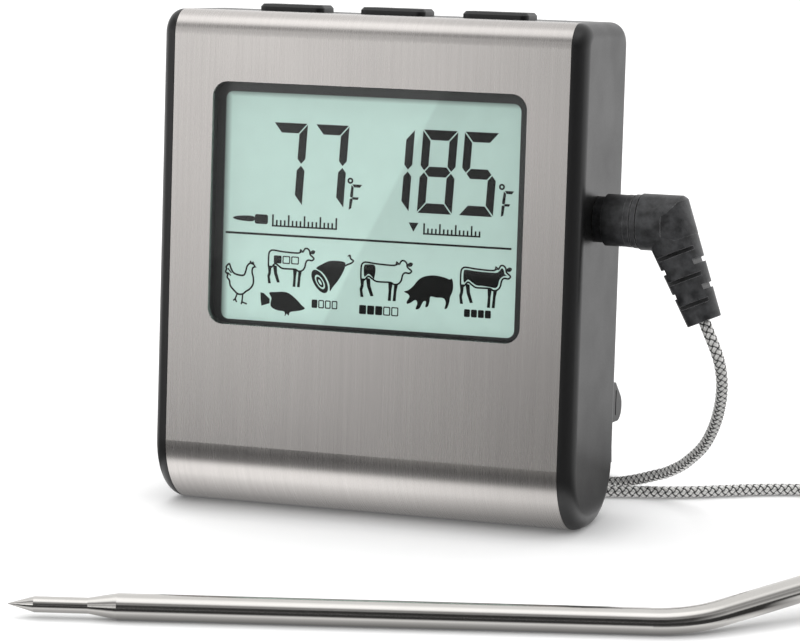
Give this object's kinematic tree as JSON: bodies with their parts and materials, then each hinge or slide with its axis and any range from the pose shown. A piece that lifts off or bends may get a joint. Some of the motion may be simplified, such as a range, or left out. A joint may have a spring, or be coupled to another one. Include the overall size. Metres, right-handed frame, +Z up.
{
  "type": "meat thermometer",
  "caption": "Digital oven probe thermometer: display case leaning on a fold-out stand, with a plug-in braided cable and a bent stainless meat probe.",
  "frame": {"origin": "on the table, in the flat strip under the case, below the axis of the round that ends the front face", "axes": "+X towards the socket side of the case and the case's left to right seen from the front, +Y from the front to the back, +Z up"},
  "size_m": [0.1437, 0.1149, 0.0795],
  "materials": {
    "case_plastic": "fine satin moulded texture",
    "brushed_plate": "vertical hairline brushing",
    "cover_plastic": "fine moulded texture",
    "door_plastic": "fine moulded texture",
    "lens": "clear gloss",
    "lcd": "pale grey-green reflective display",
    "reflector": "satin white film",
    "carrier_plastic": "moulded",
    "elastomer": "matte",
    "board": "solder mask",
    "chip": "moulded epoxy",
    "components": "satin",
    "switch_plastic": "moulded",
    "key_rubber": "soft matte",
    "socket_plastic": "moulded",
    "contact_brass": "plated",
    "buzzer_brass": "satin",
    "battery_sleeve": "plain printed sleeve",
    "spring_steel": "nickel plated",
    "wire_cover": "smooth insulation",
    "magnet_nickel": "nickel plated",
    "screw_steel": "zinc plated",
    "stand_plastic": "fine moulded texture",
    "foot_rubber": "matte",
    "plug_metal": "nickel plated",
    "plug_ring": "moulded",
    "boot_rubber": "soft moulded",
    "braid": "braided stainless wire",
    "ferrule_steel": "satin crimped",
    "probe_steel": "satin polished along the tube",
    "sensor_glass": "bead",
    "lead_wire": "tinned"
  },
  "bodies": {
    "housing": {"front_housing": "case_plastic", "faceplate": "brushed_plate", "back_cover": "cover_plastic", "display_lens": "lens", "display_glass": "lcd", "display_reflector": "reflector", "display_frame": "carrier_plastic", "zebra_strips": "elastomer", "circuit_board": "board", "controller_chip": "chip", "board_components": "components", "button_switches": "switch_plastic", "jack_socket": "socket_plastic", "jack_contacts": "contact_brass", "buzzer": "buzzer_brass", "battery": "battery_sleeve", "battery_spring": "spring_steel", "battery_contacts": "spring_steel", "battery_wires": "wire_cover", "magnets": "magnet_nickel", "case_screws": "screw_steel", "board_screws": "screw_steel", "stand_pins": "screw_steel", "cable_run": "braid"},
    "mode_key": {"mode_button": "key_rubber"},
    "up_key": {"up_button": "key_rubber"},
    "down_key": {"down_button": "key_rubber"},
    "door": {"battery_door": "door_plastic"},
    "stand": {"stand_leg": "stand_plastic", "stand_foot_pad": "foot_rubber"},
    "plug_shank": {"plug_tip": "plug_metal", "plug_insulator": "plug_ring", "plug_barrel": "plug_metal"},
    "plug": {"plug_boot": "boot_rubber", "cable_plug_end": "braid"},
    "cable_lead": {"cable_tail": "braid"},
    "probe": {"cable_probe_end": "braid", "probe_ferrule": "ferrule_steel", "probe_tube": "probe_steel", "thermistor": "sensor_glass", "thermistor_leads": "lead_wire"}
  },
  "joints": [
    {"name": "mode_press", "type": "slide", "parent": "housing", "child": "mode_key", "axis": [0, -0.0865, -0.9963], "range_m": [0, 0.0006], "stiffness_N_per_m": 2500},
    {"name": "up_press", "type": "slide", "parent": "housing", "child": "up_key", "axis": [0, -0.0865, -0.9963], "range_m": [0, 0.0006], "stiffness_N_per_m": 2500},
    {"name": "down_press", "type": "slide", "parent": "housing", "child": "down_key", "axis": [0, -0.0865, -0.9963], "range_m": [0, 0.0006], "stiffness_N_per_m": 2500},
    {"name": "door_pull", "type": "slide", "parent": "housing", "child": "door", "axis": [0, 0.9963, -0.0865], "range_m": [0, 0.012]},
    {"name": "stand_fold", "type": "hinge", "parent": "housing", "child": "stand", "pos_m": [0, 0.01544, 0.01714], "axis": [1, 0, 0], "range_deg": [0, 123]},
    {"name": "plug_pull", "type": "slide", "parent": "housing", "child": "plug_shank", "axis": [1, 0, 0], "range_m": [0, 0.016]},
    {"name": "plug_swivel", "type": "hinge", "parent": "plug_shank", "child": "plug", "pos_m": [0.0462, 0.002, 0.04849], "axis": [1, 0, 0], "range_deg": [-12, 35]},
    {"name": "probe_swing", "type": "hinge", "parent": "housing", "child": "cable_lead", "pos_m": [0.09, 0.0283, 0.001], "axis": [0, 0, 1], "range_deg": [-18, 25]},
    {"name": "probe_lift", "type": "hinge", "parent": "cable_lead", "child": "probe", "pos_m": [0.09953, -0.01296, 0.00794], "axis": [-0.4573, 0.8893, 0], "range_deg": [0, 35]}
  ]
}
